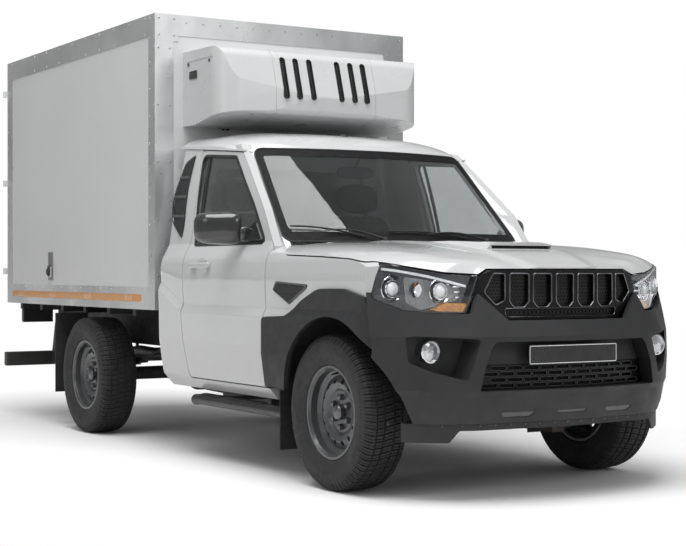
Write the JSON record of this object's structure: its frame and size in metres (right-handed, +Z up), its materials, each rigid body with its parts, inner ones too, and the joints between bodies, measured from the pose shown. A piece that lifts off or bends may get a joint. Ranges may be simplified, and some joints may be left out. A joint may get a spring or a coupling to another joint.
{
  "type": "refrigerated truck",
  "caption": "Single-cab light truck with an insulated box body and a roof-front cooling unit; doors, bonnet, steering and wheels move.",
  "frame": {"origin": "on the ground under the middle of the vehicle", "axes": "+X to the vehicle's left, +Y to its rear, +Z up; the front faces -Y"},
  "size_m": [2.1304, 5.381, 2.5214],
  "materials": {
    "white_paint": "gloss white body paint",
    "panel_white": "white laminate box panel",
    "dark_plastic": "charcoal grained plastic",
    "black_plastic": "black moulded plastic",
    "clear_lamp": "clear lamp lens",
    "cab_glass": "tinted glass",
    "tyre": "black tyre rubber",
    "wheel_steel": "dark grey painted steel wheel",
    "chassis_black": "black chassis paint",
    "cast_iron": "rough cast iron",
    "trim_metal": "riveted sheet trim",
    "rubber": "black rubber",
    "seat_fabric": "dark woven cloth",
    "lamp_red": "red lamp lens"
  },
  "bodies": {
    "truck": {"arch_flares": "dark_plastic", "box_floor": "panel_white", "box_roof": "panel_white", "box_subframe": "chassis_black", "box_trim": "trim_metal", "box_walls": "panel_white", "cab_back": "white_paint", "cab_floor": "chassis_black", "cab_glass": "cab_glass", "cab_roof": "white_paint", "cab_sides": "white_paint", "chassis_frame": "chassis_black", "cooling_unit": "panel_white", "dashboard": "black_plastic", "driveline": "chassis_black", "engine_block": "cast_iron", "firewall_cowl": "white_paint", "front_arms": "chassis_black", "front_bumper": "dark_plastic", "front_fenders": "white_paint", "front_lamps": "clear_lamp", "fuel_tank": "chassis_black", "grille": "black_plastic", "leaf_springs": "chassis_black", "rear_axle": "chassis_black", "rear_lamps": "lamp_red", "rear_portal": "trim_metal", "seats": "seat_fabric", "side_steps": "chassis_black", "side_vents": "dark_plastic", "splash_guards": "rubber", "underrun_bar": "chassis_black"},
    "knuckle_left": {"knuckle_left": "cast_iron"},
    "knuckle_right": {"knuckle_right": "cast_iron"},
    "door_left": {"door_left": "white_paint", "door_glass_left": "cab_glass", "mirror_left": "dark_plastic"},
    "door_right": {"door_right": "white_paint", "door_glass_right": "cab_glass", "mirror_right": "dark_plastic"},
    "bonnet": {"bonnet": "white_paint"},
    "rear_door_left": {"rear_door_left": "panel_white"},
    "rear_door_right": {"rear_door_right": "panel_white"},
    "wheel_front_left": {"tyre_front_left": "tyre", "rim_front_left": "wheel_steel"},
    "wheel_front_right": {"tyre_front_right": "tyre", "rim_front_right": "wheel_steel"},
    "wheel_rear_left": {"tyre_rear_left": "tyre", "rim_rear_left": "wheel_steel"},
    "wheel_rear_right": {"tyre_rear_right": "tyre", "rim_rear_right": "wheel_steel"}
  },
  "joints": [
    {"name": "steer_left", "type": "hinge", "parent": "truck", "child": "knuckle_left", "pos_m": [0.625, -1.9, 0.3675], "axis": [0, 0, 1], "range_deg": [-33, 33]},
    {"name": "steer_right", "type": "hinge", "parent": "truck", "child": "knuckle_right", "pos_m": [-0.625, -1.9, 0.3675], "axis": [0, 0, 1], "range_deg": [-33, 33]},
    {"name": "spin_front_left", "type": "hinge", "parent": "knuckle_left", "child": "wheel_front_left", "pos_m": [0.75, -1.9, 0.3675], "axis": [1, 0, 0], "continuous": true},
    {"name": "spin_front_right", "type": "hinge", "parent": "knuckle_right", "child": "wheel_front_right", "pos_m": [-0.75, -1.9, 0.3675], "axis": [1, 0, 0], "continuous": true},
    {"name": "spin_rear_left", "type": "hinge", "parent": "truck", "child": "wheel_rear_left", "pos_m": [0.75, 1.14, 0.3675], "axis": [1, 0, 0], "continuous": true},
    {"name": "spin_rear_right", "type": "hinge", "parent": "truck", "child": "wheel_rear_right", "pos_m": [-0.75, 1.14, 0.3675], "axis": [1, 0, 0], "continuous": true},
    {"name": "open_door_left", "type": "hinge", "parent": "truck", "child": "door_left", "pos_m": [0.886, -1.309, 0.735], "axis": [0, 0, -1], "range_deg": [0, 70]},
    {"name": "open_door_right", "type": "hinge", "parent": "truck", "child": "door_right", "pos_m": [-0.886, -1.309, 0.735], "axis": [0, 0, 1], "range_deg": [0, 70]},
    {"name": "open_bonnet", "type": "hinge", "parent": "truck", "child": "bonnet", "pos_m": [0, -1.499, 1.167], "axis": [-1, 0, 0], "range_deg": [0, 50]},
    {"name": "open_rear_door_left", "type": "hinge", "parent": "truck", "child": "rear_door_left", "pos_m": [0.875, 2.6, 1.6], "axis": [0, 0, -1], "range_deg": [0, 268]},
    {"name": "open_rear_door_right", "type": "hinge", "parent": "truck", "child": "rear_door_right", "pos_m": [-0.875, 2.6, 1.6], "axis": [0, 0, 1], "range_deg": [0, 268]}
  ],
  "couplings": [
    {"joint": "steer_right", "follows": "steer_left", "ratio": 1}
  ]
}
